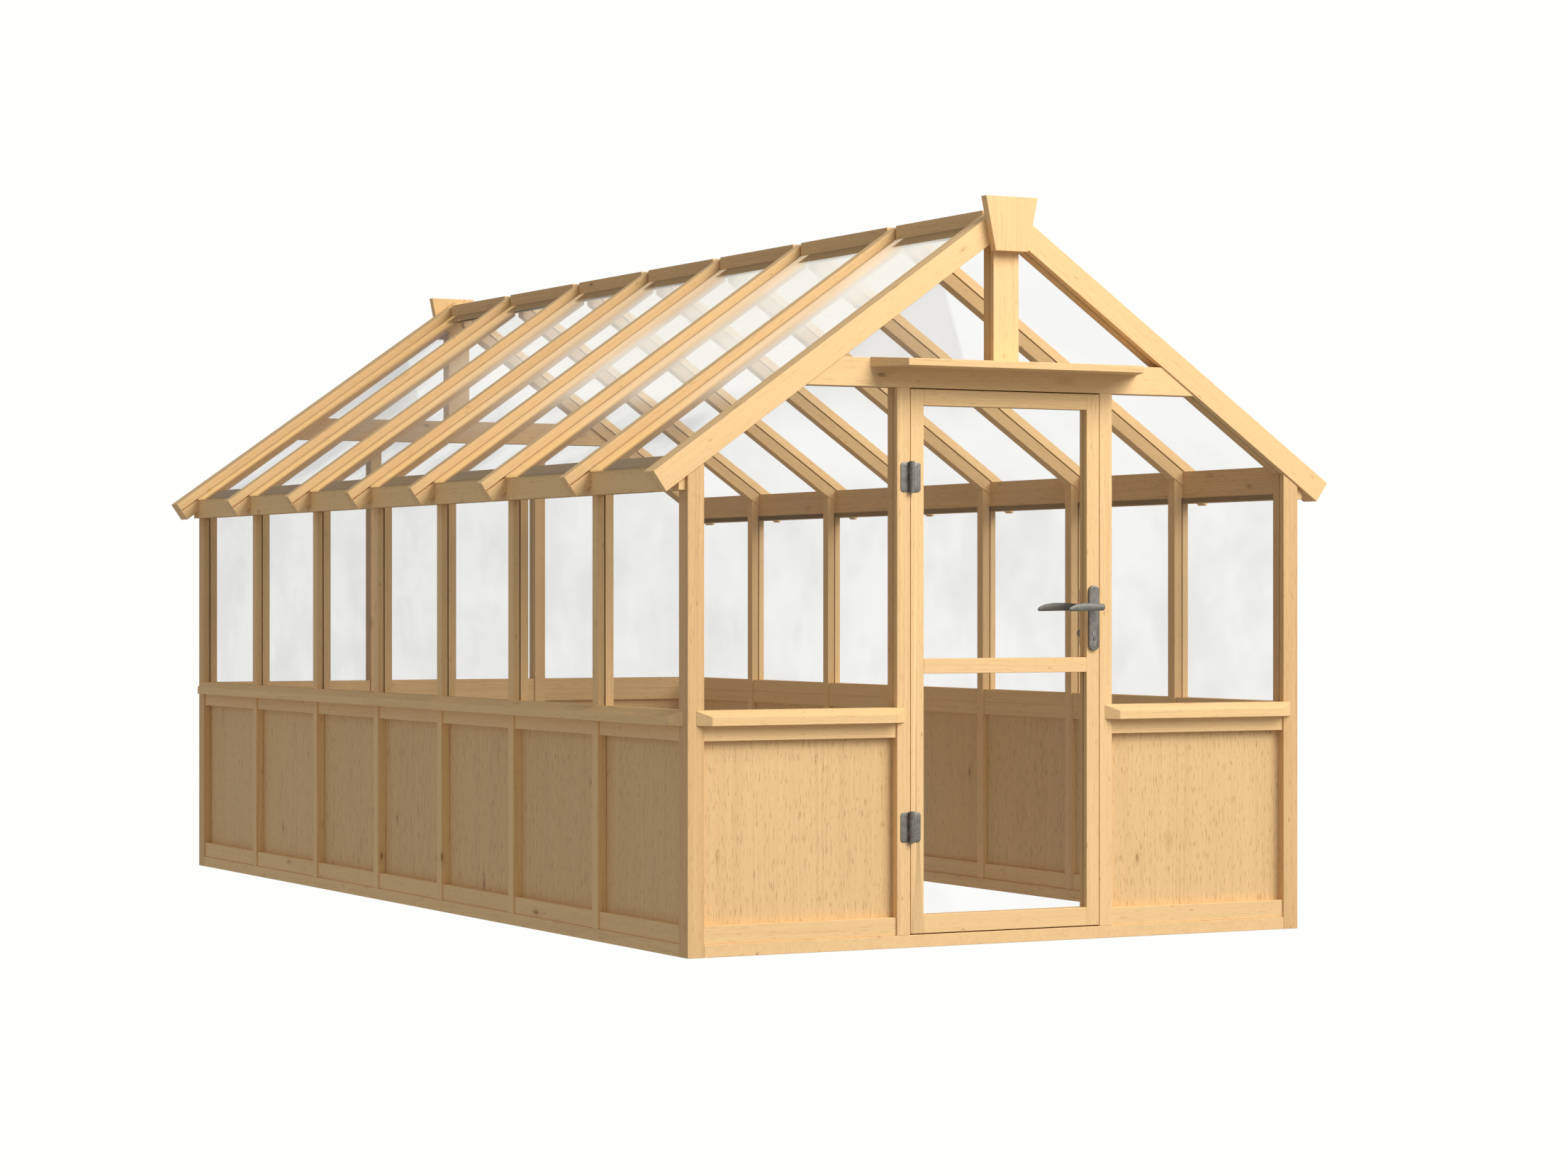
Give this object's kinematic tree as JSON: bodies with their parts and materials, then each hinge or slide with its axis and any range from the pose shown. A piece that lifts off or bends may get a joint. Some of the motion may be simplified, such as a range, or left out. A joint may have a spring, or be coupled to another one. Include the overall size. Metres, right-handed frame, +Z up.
{
  "type": "wooden greenhouse",
  "caption": "Free-standing timber greenhouse with a boarded knee wall, glazed walls and a pitched glass roof, entered by a hinged glazed door in the front gable.",
  "frame": {"origin": "centre of the overall outline on the ground", "axes": "+Z up, -Y out of the front gable with the door, the ridge runs along Y, +X to the door's lock side"},
  "size_m": [2.65, 4.982, 2.5167],
  "materials": {
    "timber": "planed, unpainted",
    "panel_timber": "planed, unpainted",
    "glass": "clear",
    "dark_metal": "satin",
    "steel": "satin"
  },
  "bodies": {
    "frame": {"sole_plates": "timber", "corner_posts": "timber", "left_wall_posts": "timber", "right_wall_posts": "timber", "back_wall_posts": "timber", "hinge_jamb": "timber", "lock_jamb": "timber", "front_header": "timber", "back_header": "timber", "king_posts": "timber", "left_bottom_rails": "timber", "right_bottom_rails": "timber", "gable_bottom_rails": "timber", "left_top_rails": "timber", "right_top_rails": "timber", "gable_top_rails": "timber", "left_infill_panels": "panel_timber", "right_infill_panels": "panel_timber", "gable_infill_panels": "panel_timber", "left_sills": "timber", "right_sills": "timber", "gable_sills": "timber", "left_eaves_beam": "timber", "right_eaves_beam": "timber", "ridge_beam": "timber", "ridge_blocks": "timber", "left_rafters": "timber", "right_rafters": "timber", "left_glazing_caps": "timber", "right_glazing_caps": "timber", "front_barge_boards": "timber", "back_barge_boards": "timber", "keystones": "timber", "door_canopy": "timber", "door_stops": "panel_timber", "left_wall_panes": "glass", "right_wall_panes": "glass", "gable_panes": "glass", "left_roof_panes": "glass", "right_roof_panes": "glass", "strike_plate": "steel", "hinge_frame_leaves": "dark_metal", "hinge_pins": "steel", "frame_screws": "steel"},
    "door": {"hinge_stile": "timber", "lock_stile": "timber", "door_rails": "timber", "door_panes": "glass", "hinge_door_leaves": "dark_metal", "door_screws": "steel", "lock_case": "steel", "backplates": "dark_metal", "lock_cylinder": "steel"},
    "levers": {"outer_lever": "dark_metal", "inner_lever": "dark_metal", "spindle": "steel", "follower": "steel"},
    "latch": {"latch_bolt": "steel"},
    "deadbolt": {"deadbolt": "steel"},
    "plug": {"cylinder_plug": "steel"}
  },
  "joints": [
    {"name": "door_hinge", "type": "hinge", "parent": "frame", "child": "door", "pos_m": [-0.37225, -2.3565, 1], "axis": [0, 0, -1], "range_deg": [0, 150]},
    {"name": "lever_turn", "type": "hinge", "parent": "door", "child": "levers", "pos_m": [0.346, -2.3245, 1.136], "axis": [0, -1, 0], "range_deg": [0, 40], "stiffness_Nm_per_rad": 1.2, "springref_deg": -40.11},
    {"name": "latch_slide", "type": "slide", "parent": "door", "child": "latch", "axis": [-1, 0, 0], "range_m": [0, 0.01]},
    {"name": "plug_turn", "type": "hinge", "parent": "door", "child": "plug", "pos_m": [0.346, -2.3245, 1.044], "axis": [0, -1, 0], "range_deg": [0, 360]},
    {"name": "deadbolt_throw", "type": "slide", "parent": "door", "child": "deadbolt", "axis": [1, 0, 0], "range_m": [0, 0.0145]}
  ],
  "couplings": [
    {"joint": "latch_slide", "follows": "lever_turn", "m_per_rad": 0.0143},
    {"joint": "deadbolt_throw", "follows": "plug_turn", "m_per_rad": 0.002228}
  ]
}
